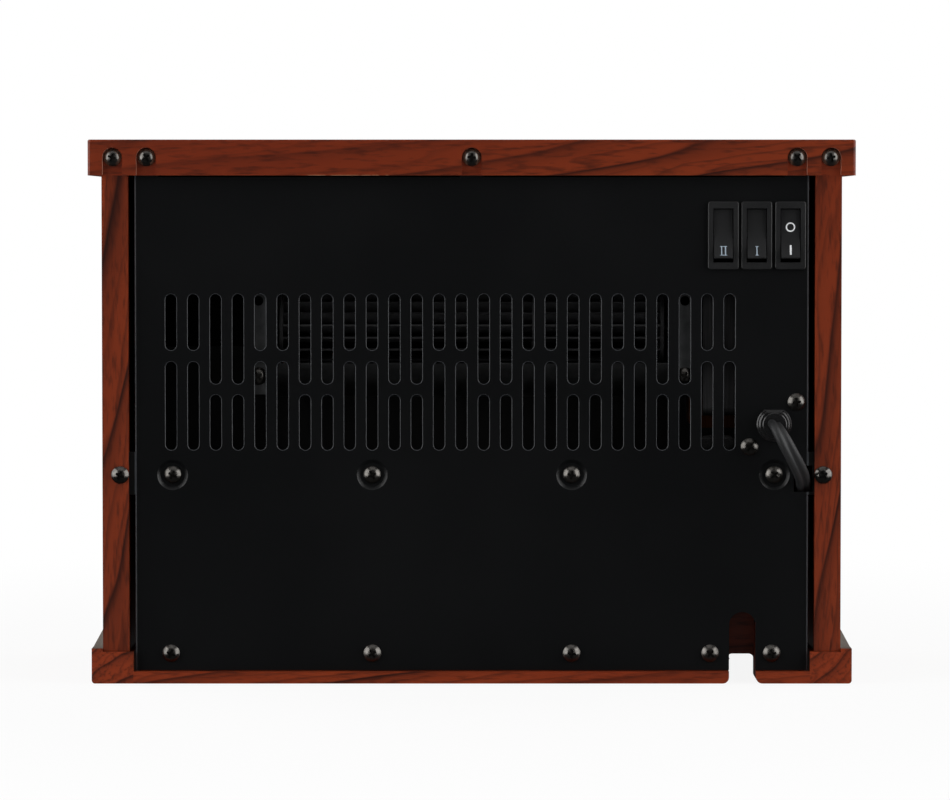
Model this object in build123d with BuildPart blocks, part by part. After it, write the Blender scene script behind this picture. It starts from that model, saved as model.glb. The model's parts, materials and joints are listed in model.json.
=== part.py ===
"""Small mantel fireplace heater: a wood-grain cabinet around a steel back panel, a ceramic fan
heater in the upper chamber and a flame effect behind the front window.

X runs across, Y from the front (-Y, window and hot-air outlet) to the back (+Y, intake slots,
switches and lead), Z is up from the surface that the base stands on. The switches are on the -X
side, which is on the right when the heater is seen from behind. Millimetres throughout.
"""

from build123d import *
import math
import os

os.makedirs("parts", exist_ok=True)

# Driving dimensions ---------------------------------------------------------------------------
# cabinet
cap_half = 174.7
cap_bottom, cap_top = 232.0, 248.3
cap_front, cap_back = -82.6, 81.0
board = 12.0
side_outer = 168.6
side_inner = side_outer - board
side_back = 78.5
side_foot = 14.5
frame_front = -76.0
frame_back = frame_front + board
opening_half = 122.0
opening_bottom, opening_top = 36.0, 204.0
base_half = 173.7
base_top = 16.0
base_front, base_back = -82.0, 80.0
rail_inner = 154.7
moulding_top = 24.8
# steel
sheet = 1.0
panel_half = 153.9
panel_face = 76.5
panel_inner = panel_face - sheet
panel_bottom, panel_top = 5.8, 231.3
floor_z = 36.0
shelf_z = 101.0
step_z = 152.0
step_y = 21.0
shell_half = 152.4
shell_top = 229.0
box_half = 136.0
box_back = 61.0
plate_face = frame_back + sheet
# intake slots
slot_pitch, slot_width = 10.2, 5.1
slot_first, slot_count = 137.3, 26
slot_top, slot_low = 178.0, 106.7
# fasteners
head_radius, head_height = 4.0, 2.6
shank_radius = 1.75
screw_fit = 0.05
mid_screw_z, low_screw_z, cap_screw_z = 95.4, 13.6, 240.2
divider_screw_x = (136.7, 45.5, -45.7, -138.3)
base_screw_x = (137.6, 45.5, -45.7, -109.1, -137.3)
cap_screw_x = (163.5, 148.1, 0.0, -148.1, -163.5)
side_screw_x = (160.5, -160.5)
pocket_depth, pocket_width, pocket_top = 2.4, 9.0, 244.6
dimple_radius, dimple_depth = 7.0, 1.2
# cord side
notch_x, notch_width = -123.8, 12.0
relief_x, relief_z, relief_bore = -138.1, 118.5, 6.3
clamp_screws = ((-148.3, 128.7), (-126.9, 108.2))
tube_radius = 2.75
# switches
switch_x = {"high_heat": -114.7, "low_heat": -129.9, "power": -145.3}
switch_z = 204.7
bezel_width, bezel_height, bezel_lip = 14.0, 31.0, 1.8
pivot_y = 75.2
pivot_radius = 1.5
rocker_tilt = 10.0
rocker_reach, rocker_rim, rocker_dip = 11.4, 3.5, 2.3
# rotating parts
fan_y, fan_z, fan_radius, fan_half = 46.0, 162.0, 25.0, 88.0
spindle_y, spindle_z = 40.0, 72.0


def facing_back(y):
    """A sketch plane at depth y; its normal is -Y, so its extrusions run towards the front."""
    return Plane.XZ.offset(-y)


def save(builder, name):
    builder.part.label = name
    export_step(builder.part, f"parts/{name}.step")


def block(x0, x1, y0, y1, z0, z1, mode=Mode.ADD):
    """A box given by its six faces."""
    with Locations(((x0 + x1) / 2, (y0 + y1) / 2, (z0 + z1) / 2)):
        Box(x1 - x0, y1 - y0, z1 - z0, mode=mode)


def drill_back(places, radius, y0, y1):
    """Round holes along Y at the given (x, z) places, from depth y0 to depth y1."""
    with BuildSketch(facing_back(y1)) as holes:
        with Locations(*places):
            Circle(radius)
    extrude(holes.sketch, amount=y1 - y0, mode=Mode.SUBTRACT)


# Fasteners ------------------------------------------------------------------------------------
def pan_screw(length):
    """A pan-head cross-recess screw along +Z, with the underside of its head at z = 0."""
    head_rim = 0.6
    rise = head_height - head_rim
    dome = (head_radius**2 + rise**2) / (2 * rise)
    dome_angle = math.degrees(math.asin(head_radius / dome))
    with BuildPart() as screw:
        with BuildSketch(Plane.XZ):
            with BuildLine():
                Polyline((0, head_height), (0, -length), (shank_radius * 0.4, -length),
                         (shank_radius, 2.5 - length), (shank_radius, 0), (head_radius, 0),
                         (head_radius, head_rim))
                CenterArc((0, head_height - dome), dome, 90 - dome_angle, dome_angle)
            make_face()
        revolve(axis=Axis.Z)
        with BuildSketch(Plane.XY.offset(head_height)):
            Rectangle(4.2, 1.1)
            Rectangle(1.1, 4.2)
        extrude(amount=-1.7, taper=12, mode=Mode.SUBTRACT)
    return screw.part


def screw_set(name, rows):
    """One node of separate screws. A row is (x, z, depth of the head's seat, length)."""
    with BuildPart() as screws:
        for number, (x, z, seat, length) in enumerate(rows):
            turn = math.radians(20 + 37 * number)
            head = Plane((x, seat, z), x_dir=(math.cos(turn), 0, math.sin(turn)), z_dir=(0, 1, 0))
            with Locations(head):
                add(pan_screw(length))
    save(screws, name)


screw_set("cabinet_screws", [(x, cap_screw_z, cap_back - pocket_depth, 12) for x in cap_screw_x]
          + [(x, mid_screw_z, side_back, 14) for x in side_screw_x])
screw_set("panel_screws", [(x, low_screw_z, panel_face, 14) for x in base_screw_x]
          + [(x, mid_screw_z, panel_face - dimple_depth, 7) for x in divider_screw_x]
          + [(x, z, panel_face, 6) for x, z in clamp_screws])

# Cabinet --------------------------------------------------------------------------------------
tab_groove = (75.2, 76.9)  # depth of the slots that take the panel's tabs
tab_top = 245.6
cap_tabs = (148.1, 0.0, -148.1)

with BuildPart() as cabinet_top:
    block(-cap_half, cap_half, cap_front, cap_back, cap_bottom, cap_top)
    chamfer(cabinet_top.edges().filter_by(Axis.Z), 1.0)
    fillet(cabinet_top.edges().group_by(Axis.Z)[-1], 0.8)
    for side in (-1, 1):
        inner, outer = sorted((side * (side_inner - 0.2), side * (side_outer + 0.2)))
        block(inner, outer, frame_back - 0.3, tab_groove[1], cap_bottom, tab_top,
              mode=Mode.SUBTRACT)
    for x in cap_tabs:
        block(x - 6, x + 6, *tab_groove, cap_bottom, tab_top, mode=Mode.SUBTRACT)
    with BuildSketch(facing_back(cap_back)):
        for x in cap_screw_x:
            with Locations((x, (cap_bottom + cap_screw_z) / 2)):
                Rectangle(pocket_width, cap_screw_z - cap_bottom)
            with Locations((x, cap_screw_z)):
                Circle(pocket_width / 2)
    extrude(amount=pocket_depth, mode=Mode.SUBTRACT)
    drill_back([(x, cap_screw_z) for x in cap_screw_x], shank_radius + screw_fit, 66, cap_back)
save(cabinet_top, "cabinet_top")

for name, side in (("left_side_board", -1), ("right_side_board", 1)):
    with BuildPart() as side_board:
        inner, outer = sorted((side * side_inner, side * side_outer))
        block(inner, outer, frame_back, side_back, side_foot, cap_bottom)
        block(inner, outer, frame_back, tab_groove[0] + 1.4, cap_bottom, tab_top - 0.4)
        ear_in, ear_out = sorted((side * side_inner, side * (side_inner + 9)))
        block(ear_in, ear_out, *tab_groove, 85.9, 106.3, mode=Mode.SUBTRACT)
        drill_back([(side * side_screw_x[0], mid_screw_z)], shank_radius + screw_fit, 64, side_back)
        drill_back([(side * cap_screw_x[0], cap_screw_z)], shank_radius + screw_fit, 64, side_back)
    save(side_board, name)

with BuildPart() as base_side_rails:
    for side in (-1, 1):
        inner, outer = sorted((side * rail_inner, side * base_half))
        block(inner, outer, base_front, base_back, 0, base_top)
        rebate_in, rebate_out = sorted((side * rail_inner, side * (side_outer + 0.1)))
        block(rebate_in, rebate_out, frame_back, base_back, side_foot, base_top, mode=Mode.SUBTRACT)
        edge = base_side_rails.edges().filter_by(Axis.Y).group_by(Axis.Z)[0].sort_by(Axis.X)
        fillet(edge[-1] if side > 0 else edge[0], 1.5)
save(base_side_rails, "base_side_rails")

with BuildPart() as base_front_rail:
    block(-rail_inner, rail_inner, base_front, frame_back, 0, base_top)
    with BuildSketch(facing_back(frame_back)) as arch:
        with Locations((0, 0)):
            Rectangle(284, 18)
        fillet(arch.vertices().group_by(Axis.Y)[-1], 8)
    extrude(amount=frame_back - base_front, mode=Mode.SUBTRACT)
save(base_front_rail, "base_front_rail")

rail_deep = (57.5, panel_inner)
with BuildPart() as base_rear_rail:
    block(-152.2, 152.2, *rail_deep, 0, floor_z)
    block(-rail_inner, rail_inner, panel_inner, base_back, 0, panel_bottom - 0.3)
    with BuildSketch(facing_back(base_back)) as notch:
        with Locations((notch_x, 6)):
            Rectangle(notch_width + 0.4, 12)
        fillet(notch.vertices().group_by(Axis.Y)[-1], 2.5)
    extrude(amount=base_back - rail_deep[0], mode=Mode.SUBTRACT)
    recess_half = notch_width / 2 + 0.2
    block(notch_x - recess_half, notch_x + recess_half, 62.5, panel_inner, 11, 33,
          mode=Mode.SUBTRACT)
    lip_ends = base_rear_rail.edges().filter_by(Axis.Y).group_by(Axis.Z)[0]
    mouth = lip_ends.filter_by(lambda edge: abs(edge.center().X - notch_x) < notch_width)
    fillet(mouth, 2.8)
    drill_back([(x, low_screw_z) for x in base_screw_x], shank_radius + screw_fit, 61, panel_inner)
save(base_rear_rail, "base_rear_rail")


def moulding_profile():
    """The bevelled moulding's section: x out from the cabinet, y up from the base."""
    out, up = base_half - 0.3 - side_outer, moulding_top - base_top
    with BuildLine() as outline:
        Polyline((0, up), (0, 0), (out, 0), close=True)
    make_face(outline.edges())


with BuildPart() as base_moulding:
    with BuildLine() as moulding_path:
        Polyline((side_outer, side_back, base_top), (side_outer, frame_front, base_top),
                 (-side_outer, frame_front, base_top), (-side_outer, side_back, base_top))
    with BuildSketch(Plane((side_outer, side_back, base_top), x_dir=(1, 0, 0), z_dir=(0, -1, 0))):
        moulding_profile()
    sweep(path=moulding_path.line, transition=Transition.RIGHT)
    for side in (-1, 1):
        mitre = Plane((side * side_outer, frame_front, 0), z_dir=(side, 1, 0))
        split(bisect_by=mitre, keep=Keep.BOTH)
save(base_moulding, "base_moulding")

with BuildPart() as front_stiles:
    for side in (-1, 1):
        inner, outer = sorted((side * opening_half, side * side_outer))
        block(inner, outer, frame_front, frame_back, base_top, cap_bottom)
    inner_edges = front_stiles.edges().filter_by(Axis.Z).group_by(Axis.Y)[0]
    chamfer(inner_edges.filter_by(lambda edge: abs(edge.center().X) < opening_half + 1), 4)
save(front_stiles, "front_stiles")

for name, low, high, pick in (("front_top_rail", opening_top, cap_bottom, 0),
                              ("front_bottom_rail", base_top, opening_bottom, -1)):
    with BuildPart() as rail:
        block(-opening_half, opening_half, frame_front, frame_back, low, high)
        chamfer(rail.edges().filter_by(Axis.X).group_by(Axis.Y)[0].sort_by(Axis.Z)[pick], 4)
    save(rail, name)

# Steel back panel -------------------------------------------------------------------------------
flange_deep, flange_low, flange_gap = 8.0, 19.0, (78.0, 106.9)
ear = (86.3, 105.9)
cord_slot = (-155.8, -147.2, 87.6, 99.6)
with BuildPart() as back_panel:
    block(-panel_half, panel_half, panel_inner, panel_face, panel_bottom, panel_top)
    for side in (-1, 1):
        inner, outer = sorted((side * (panel_half - sheet), side * panel_half))
        for low, high in ((flange_low, flange_gap[0]), (flange_gap[1], panel_top)):
            block(inner, outer, panel_face - flange_deep, panel_face, low, high)
    outer_corners = back_panel.edges().filter_by(Axis.Z).group_by(Axis.Y)[-1]
    fillet(outer_corners, 0.8)
    for side in (-1, 1):
        inner, outer = sorted((side * (panel_half - 2), side * (side_inner + 8.4)))
        block(inner, outer, panel_inner, panel_face, *ear)
    for x in cap_tabs:
        block(x - 5.5, x + 5.5, panel_inner, panel_face, panel_top - 2, tab_top - 0.5)
    with BuildSketch(facing_back(panel_face)):
        for column in range(slot_count):
            x = slot_first - column * slot_pitch
            short_high = column // 2 % 2 == 0
            split_low, split_high = (147.1, 152.3) if short_high else (132.0, 136.9)
            for low, high in ((slot_low, split_low), (split_high, slot_top)):
                with Locations((x, (low + high) / 2)):
                    SlotOverall(high - low, slot_width, rotation=90)
        with Locations((notch_x, (panel_bottom + 32.5) / 2 - 3)):
            SlotOverall(32.5 - panel_bottom + 6, notch_width, rotation=90)
    extrude(amount=sheet, mode=Mode.SUBTRACT)
    slot_rims = back_panel.faces().sort_by(Axis.Y)[-1].inner_wires().edges()
    chamfer(slot_rims, 0.25)
    x0, x1, z0, z1 = cord_slot
    block(x0, x1, panel_inner, panel_face, z0, z1, mode=Mode.SUBTRACT)
    with BuildSketch(facing_back(panel_face)):
        with Locations(*[(x, switch_z) for x in switch_x.values()]):
            Rectangle(12.0, 28.0)
        with Locations((relief_x, relief_z)):
            Circle(relief_bore)
    extrude(amount=sheet, mode=Mode.SUBTRACT)
    hole = shank_radius + 0.2
    drill_back([(x, low_screw_z) for x in base_screw_x], hole, panel_inner, panel_face)
    drill_back(clamp_screws, hole, panel_inner, panel_face)
    drill_back([(x, mid_screw_z) for x in side_screw_x], hole, panel_inner, panel_face)
    drill_back([(x, cap_screw_z) for x in cap_tabs], hole, panel_inner, panel_face)
    drill_back([(x, mid_screw_z) for x in divider_screw_x], dimple_radius, panel_inner, panel_face)
    for x in divider_screw_x:
        with BuildSketch(Plane((x, panel_face, mid_screw_z), x_dir=(1, 0, 0), z_dir=(0, 0, 1))):
            with BuildLine():
                flat = 5.4
                Polyline((dimple_radius, 0), (flat, -dimple_depth), (hole, -dimple_depth),
                         (hole, -dimple_depth - sheet), (flat, -dimple_depth - sheet),
                         (dimple_radius, -sheet), close=True)
            make_face()
        revolve(axis=Axis((x, panel_face, mid_screw_z), (0, 1, 0)))
save(back_panel, "back_panel")

# Inner steelwork --------------------------------------------------------------------------------
flange_face = panel_face - dimple_depth - sheet
with BuildPart() as divider_shelf:
    reach = shell_half - sheet - 0.2
    block(-reach, reach, step_y, flange_face, shelf_z, shelf_z + sheet)
    block(-reach + 5, reach - 5, flange_face - sheet, flange_face, 88, shelf_z)
    block(-reach, reach, step_y, step_y + sheet, shelf_z, step_z + sheet)
    block(-reach, reach, plate_face, step_y, step_z, step_z + sheet)
    fillet(divider_shelf.edges().filter_by(Axis.X).group_by(Axis.Z)[-1].sort_by(Axis.Y)[-1], 0.8)
    drill_back([(x, mid_screw_z) for x in divider_screw_x], shank_radius + screw_fit,
               flange_face - sheet, flange_face)
save(divider_shelf, "divider_shelf")

with BuildPart() as shell_walls:
    for side in (-1, 1):
        inner, outer = sorted((side * (shell_half - sheet), side * shell_half))
        block(inner, outer, plate_face, panel_inner - 0.2, shelf_z, shell_top - sheet)
save(shell_walls, "shell_walls")

with BuildPart() as shell_roof:
    block(-shell_half, shell_half, plate_face, panel_inner - 0.2, shell_top - sheet, shell_top)
save(shell_roof, "shell_roof")

with BuildPart() as flame_box_floor:
    block(-box_half, box_half, plate_face, box_back, floor_z, floor_z + sheet)
save(flame_box_floor, "flame_box_floor")

with BuildPart() as flame_box_walls:
    for side in (-1, 1):
        inner, outer = sorted((side * (box_half - sheet), side * box_half))
        block(inner, outer, plate_face, step_y - 0.2, floor_z + sheet, step_z)
        block(inner, outer, step_y - 0.2, box_back, floor_z + sheet, shelf_z)
save(flame_box_walls, "flame_box_walls")

with BuildPart() as flame_box_back:
    block(-box_half + sheet, box_half - sheet, box_back - sheet, box_back, floor_z + sheet, shelf_z)
save(flame_box_back, "flame_box_back")

window = (-112.0, 112.0, 46.0, 144.0)
outlet = (-93.0, 93.0, 160.0, 196.0)
with BuildPart() as front_plate:
    block(-shell_half, shell_half, frame_back, plate_face, 32, shell_top)
    for x0, x1, z0, z1 in (window, outlet):
        block(x0, x1, frame_back, plate_face, z0, z1, mode=Mode.SUBTRACT)
save(front_plate, "front_plate")

with BuildPart() as outlet_grille:
    x0, x1, z0, z1 = outlet
    block(x0 - 4, x1 + 4, frame_back - 2.4, frame_back, z0 - 3, z1 + 3)
    fillet(outlet_grille.edges().group_by(Axis.Y)[0], 1.0)
    block(x0 + 3, x1 - 3, frame_back - 2.4, frame_back, z0 + 3, z1 - 3, mode=Mode.SUBTRACT)
    louvre_count = 6
    for number in range(louvre_count):
        z = z0 + 5 + number * (z1 - z0 - 10) / (louvre_count - 1)
        with Locations(Location((0, frame_back + 1.2, z), (28, 0, 0))):
            Box(x1 - x0 - 2, 7.0, 1.2)
    for x in (-46, 0, 46):
        block(x - 1, x + 1, frame_back - 1.4, frame_back + 3.4, z0 + 1, z1 - 1)
    for x in (x0 + 0.3, x1 - 3.0):
        block(x, x + 2.7, frame_back - 1.0, frame_back + 3.4, z0 + 1, z1 - 1)
save(outlet_grille, "outlet_grille")

with BuildPart() as window_glass:
    x0, x1, z0, z1 = window
    block(x0 - 5, x1 + 5, plate_face + 0.3, plate_face + 3.3, z0 - 5, z1 + 5)
    chamfer(window_glass.edges().filter_by(Axis.Y), 1.0)
save(window_glass, "window_glass")

# Cross-flow blower and its motor ----------------------------------------------------------------
plate_x = 91.0
with BuildPart() as blower_end_plates:
    for side in (-1, 1):
        inner, outer = sorted((side * plate_x, side * (plate_x + sheet)))
        block(inner, outer, -22, 30, step_z + sheet + 0.2, 198)
        block(inner, outer, step_y + sheet + 0.2, 72, 128, 198)
        flange_in, flange_out = sorted((side * plate_x, side * (plate_x + 12)))
        block(flange_in, flange_out, 72, 73, 132, 182)
        with BuildSketch(facing_back(73)):
            with Locations((side * (plate_x + 6.5), 174.8)):
                Circle(2.2)
            with Locations((side * (plate_x + 6.5), 140.4)):
                Circle(shank_radius + screw_fit)
        extrude(amount=1, mode=Mode.SUBTRACT)
    with BuildSketch(Plane.YZ.offset(-plate_x - sheet)):
        with Locations((fan_y, fan_z)):
            Circle(7.0)
    extrude(amount=2 * (plate_x + sheet), mode=Mode.SUBTRACT)
save(blower_end_plates, "blower_end_plates")

screw_set("blower_screws", [(side * (plate_x + 6.5), 140.4, 73.0, 5) for side in (-1, 1)])

with BuildPart() as blower_casing:
    scroll_radius = fan_radius + 6
    scroll_start, scroll_turn = 223, 107
    with BuildSketch(Plane.YZ.offset(-plate_x)):
        with BuildLine():
            CenterArc((fan_y, fan_z), scroll_radius, scroll_start, scroll_turn)
            CenterArc((fan_y, fan_z), scroll_radius + sheet, scroll_start, scroll_turn)
            for angle in (scroll_start, scroll_start + scroll_turn):
                turn = math.radians(angle)
                Line((fan_y + scroll_radius * math.cos(turn), fan_z + scroll_radius * math.sin(turn)),
                     (fan_y + (scroll_radius + sheet) * math.cos(turn),
                      fan_z + (scroll_radius + sheet) * math.sin(turn)))
        make_face()
    extrude(amount=2 * plate_x)
    block(-plate_x, plate_x, -22, 28, 197, 198)
    block(-plate_x, plate_x, 27, 28, 184, 197)
save(blower_casing, "blower_casing")

wheel_disc, blade_count = 1.6, 26
with BuildPart() as blower_wheel:
    for x in (-fan_half, -fan_half / 3, fan_half / 3, fan_half - wheel_disc):
        with BuildSketch(Plane.YZ.offset(x)):
            with Locations((fan_y, fan_z)):
                Circle(fan_radius)
                Circle(3.0, mode=Mode.SUBTRACT)
        extrude(amount=wheel_disc)
    with BuildSketch(Plane.YZ.offset(-fan_half)):
        with Locations((fan_y, fan_z)):
            with PolarLocations(fan_radius - 4.2, blade_count):
                Rectangle(6.6, 0.9, rotation=28)
    extrude(amount=2 * fan_half)
save(blower_wheel, "blower_wheel")

shaft_ends = (-134.0, 104.0)
with BuildPart() as blower_shaft:
    with BuildSketch(Plane.YZ.offset(shaft_ends[0])):
        with Locations((fan_y, fan_z)):
            Circle(3.0)
    extrude(amount=shaft_ends[1] - shaft_ends[0])
    chamfer(blower_shaft.edges().filter_by(GeomType.CIRCLE), 0.5)
save(blower_shaft, "blower_shaft")

with BuildPart() as shaft_bush:
    with BuildSketch(Plane.YZ.offset(plate_x - 0.8)):
        with Locations((fan_y, fan_z)):
            Circle(6.9)
            Circle(3.05, mode=Mode.SUBTRACT)
    extrude(amount=9)
    with BuildSketch(Plane.YZ.offset(plate_x + sheet)):
        with Locations((fan_y, fan_z)):
            Circle(9.5)
            Circle(3.05, mode=Mode.SUBTRACT)
    extrude(amount=4)
save(shaft_bush, "shaft_bush")

stack = (-128.0, -106.0)
rotor_radius, bore_radius = 11.7, 12.0
with BuildPart() as motor_stator:
    with BuildSketch(Plane.YZ.offset(stack[0])):
        with Locations((fan_y, fan_z - 9)):
            RectangleRounded(44, 62, 4)
        with Locations((fan_y, fan_z - 27)):
            Rectangle(24, 15, mode=Mode.SUBTRACT)
        with Locations((fan_y, fan_z)):
            Circle(bore_radius, mode=Mode.SUBTRACT)
    extrude(amount=stack[1] - stack[0])
save(motor_stator, "motor_stator")

with BuildPart() as motor_coil:
    block(stack[0] - 6, stack[1] + 6, fan_y - 11.5, fan_y + 11.5, fan_z - 46, fan_z - 20)
    fillet(motor_coil.edges().filter_by(Axis.Y), 4)
    block(stack[0], stack[1], fan_y - 12, fan_y + 12, fan_z - 40.2, fan_z - 34.3, mode=Mode.SUBTRACT)
    block(stack[0], stack[1], fan_y - 12, fan_y + 12, fan_z - 20.2, fan_z - 19, mode=Mode.SUBTRACT)
save(motor_coil, "motor_coil")

with BuildPart() as motor_rotor:
    with BuildSketch(Plane.YZ.offset(stack[0])):
        with Locations((fan_y, fan_z)):
            Circle(rotor_radius)
            Circle(3.0, mode=Mode.SUBTRACT)
    extrude(amount=stack[1] - stack[0])
save(motor_rotor, "motor_rotor")

with BuildPart() as motor_brackets:
    for x, boss in ((stack[0] - 3.5, -4), (stack[1] + 2.0, 4)):
        with BuildSketch(Plane.YZ.offset(x)):
            with Locations((fan_y, fan_z)):
                RectangleRounded(40, 15, 5)
        extrude(amount=1.5)
        with BuildSketch(Plane.YZ.offset(x if boss < 0 else x + 1.5)):
            with Locations((fan_y, fan_z)):
                Circle(6.0)
        extrude(amount=boss)
        with BuildSketch(Plane.YZ.offset(x - 5)):
            with Locations((fan_y, fan_z)):
                Circle(3.05)
        extrude(amount=12, mode=Mode.SUBTRACT)
    for y in (fan_y - 17, fan_y + 17):
        with BuildSketch(Plane.YZ.offset(stack[1])):
            with Locations((y, fan_z)):
                Circle(2.4)
        extrude(amount=2.0)
        with BuildSketch(Plane.YZ.offset(stack[1] + 3.5)):
            with Locations((y, fan_z)):
                Circle(2.4)
        extrude(amount=-plate_x - sheet - stack[1] - 3.5)
        with BuildSketch(Plane.YZ.offset(stack[0])):
            with Locations((y, fan_z)):
                Circle(2.4)
        extrude(amount=-2.0)
save(motor_brackets, "motor_brackets")

# Ceramic heating element ------------------------------------------------------------------------
heater_half, heater_low, heater_high = 86.0, 157.0, 194.0
heater_front, heater_back = -46.0, -30.0
bar_count, bar_thick = 4, 2.6
bar_step = (heater_high - heater_low - bar_thick) / (bar_count - 1)
with BuildPart() as ceramic_bars:
    for number in range(bar_count):
        z = heater_low + number * bar_step
        block(-heater_half, heater_half, heater_front, heater_back, z, z + bar_thick)
save(ceramic_bars, "ceramic_bars")

with BuildPart() as heater_fins:
    fin_pitch = 4.3
    for number in range(bar_count - 1):
        low = heater_low + number * bar_step + bar_thick
        high = low + bar_step - bar_thick
        with BuildSketch(facing_back(heater_back - 0.5)):
            with Locations((0, low + 0.25), (0, high - 0.25)):
                Rectangle(2 * heater_half - 2, 0.5)
            with Locations((0, (low + high) / 2)):
                with GridLocations(fin_pitch, 0, int(2 * heater_half / fin_pitch), 1):
                    Rectangle(0.6, high - low)
        extrude(amount=heater_back - heater_front - 1)
save(heater_fins, "heater_fins")

with BuildPart() as heater_frame:
    block(-91, 91, heater_front - 2, heater_back + 2, step_z + sheet, 196.8)
    block(-heater_half, heater_half, heater_front - 2, heater_back + 2, heater_low, heater_high,
          mode=Mode.SUBTRACT)
    for x in (-29, 29):
        block(x - 1.2, x + 1.2, heater_back, heater_back + 2, heater_low, heater_high)
        block(x - 1.2, x + 1.2, heater_front - 2, heater_front, heater_low, heater_high)
save(heater_frame, "heater_frame")

with BuildPart() as thermal_cutout:
    with BuildSketch(Plane.XY.offset(198)):
        with Locations((70, 0)):
            SlotOverall(26, 10)
    extrude(amount=1)
    with BuildSketch(Plane.XY.offset(199)):
        with Locations((70, 0)):
            Circle(8)
    extrude(amount=7)
    fillet(thermal_cutout.edges().group_by(Axis.Z)[-1], 1)
    for x in (66, 74):
        block(x - 2.4, x + 2.4, -0.4, 0.4, 206, 213)
save(thermal_cutout, "thermal_cutout")

with BuildPart() as terminal_block:
    block(-120, -105, 61, 72, shelf_z + sheet, shelf_z + sheet + 11)
    chamfer(terminal_block.edges().group_by(Axis.Z)[-1], 1.5)
    with BuildSketch(Plane.XY.offset(shelf_z + sheet + 11)):
        with Locations((-116.5, 66.5), (-108.5, 66.5)):
            Circle(2.2)
    extrude(amount=-5, mode=Mode.SUBTRACT)
save(terminal_block, "terminal_block")

# Flame effect ---------------------------------------------------------------------------------
with BuildPart() as flame_spindle:
    with BuildSketch(Plane.YZ.offset(-124)):
        with Locations((spindle_y, spindle_z)):
            Circle(2.0)
    extrude(amount=246)
    vane_count = 14
    for number in range(vane_count):
        x = -104 + number * 208 / (vane_count - 1)
        with Locations(Location((x, spindle_y, spindle_z), (number * 51.4, 0, 0))):
            Box(13, 24, 0.8)
save(flame_spindle, "flame_spindle")

with BuildPart() as spindle_brackets:
    for x in (-118, 117):
        block(x, x + sheet, spindle_y - 12, spindle_y + 12, floor_z + sheet, spindle_z + 14)
        block(x, x + 8, spindle_y - 12, spindle_y + 12, floor_z + sheet, floor_z + 2 * sheet)
        with BuildSketch(Plane.YZ.offset(x)):
            with Locations((spindle_y, spindle_z)):
                Circle(2.05)
        extrude(amount=sheet, mode=Mode.SUBTRACT)
save(spindle_brackets, "spindle_brackets")

with BuildPart() as spindle_motor:
    with BuildSketch(Plane.YZ.offset(-133)):
        with Locations((spindle_y, spindle_z)):
            Circle(13)
    extrude(amount=15)
    chamfer(spindle_motor.edges().filter_by(GeomType.CIRCLE), 0.8)
    with BuildSketch(Plane.YZ.offset(-118)):
        with Locations((spindle_y, spindle_z)):
            Circle(2.05)
    extrude(amount=-7, mode=Mode.SUBTRACT)
save(spindle_motor, "spindle_motor")

with BuildPart() as lamp_board:
    block(-110, 110, 16, 28, 40, 41.6)
    for x in (-100, 0, 100):
        block(x - 3, x + 3, 19, 25, floor_z + sheet, 40)
    with BuildSketch(Plane.XY.offset(41.6)):
        with Locations((0, 22)):
            with GridLocations(30, 0, 7, 1):
                Circle(2.5)
    extrude(amount=5)
    fillet(lamp_board.edges().filter_by(GeomType.CIRCLE).group_by(Axis.Z)[-1], 2.2)
save(lamp_board, "lamp_board")

with BuildPart() as flame_screen:
    block(-130, 130, 2, 4, floor_z + sheet, step_z - 2)
save(flame_screen, "flame_screen")

with BuildPart() as ember_bed:
    with BuildSketch(Plane.YZ.offset(-118)):
        with BuildLine():
            Polyline((-2, 46), (-2, 37), (-56, 37), (-56, 40))
            Spline((-56, 40), (-44, 45), (-28, 46.5), (-12, 48), (-2, 46))
        make_face()
    extrude(amount=236)
save(ember_bed, "ember_bed")

with BuildPart() as log_set:
    for x, y, z, length, thick, yaw, roll in ((0, -18, 60, 190, 10.5, 4, 0),
                                              (-38, -33, 60, 104, 8.5, -17, 4),
                                              (44, -33, 60, 96, 8.0, 19, -4),
                                              (6, -27, 75, 118, 7.0, -9, 9)):
        with Locations(Location((x, y, z), (0, 90 + roll, yaw))):
            Cone(thick, thick * 0.8, length)
save(log_set, "log_set")

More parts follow.
